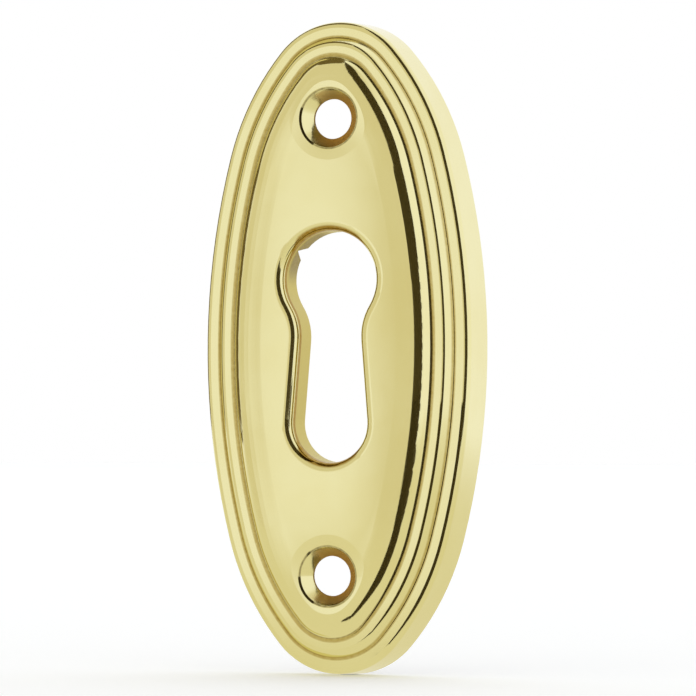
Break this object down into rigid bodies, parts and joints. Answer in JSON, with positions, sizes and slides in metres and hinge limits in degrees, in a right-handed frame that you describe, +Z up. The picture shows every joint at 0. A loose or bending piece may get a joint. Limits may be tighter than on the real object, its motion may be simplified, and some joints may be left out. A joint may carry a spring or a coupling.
{
  "type": "keyhole escutcheon",
  "caption": "Oval brass keyhole plate for a drawer or cabinet door: stepped rim, raised domed field, keyhole with a turned-back lip, countersunk screw holes on the long axis.",
  "frame": {"origin": "middle of the plane on which the rim's foot stands, at the back of the plate", "axes": "+Z up along the oval's long axis with the keyhole's head above its slot, +Y back towards the drawer front or door, +X to the right seen from the face"},
  "size_m": [0.028, 0.0069, 0.064],
  "materials": {
    "brass": "polished pale yellow brass, a little dulled, browner in the creases, the countersinks and the keyhole's wall"
  },
  "bodies": {
    "root": {"escutcheon_plate": "brass"}
  },
  "joints": []
}
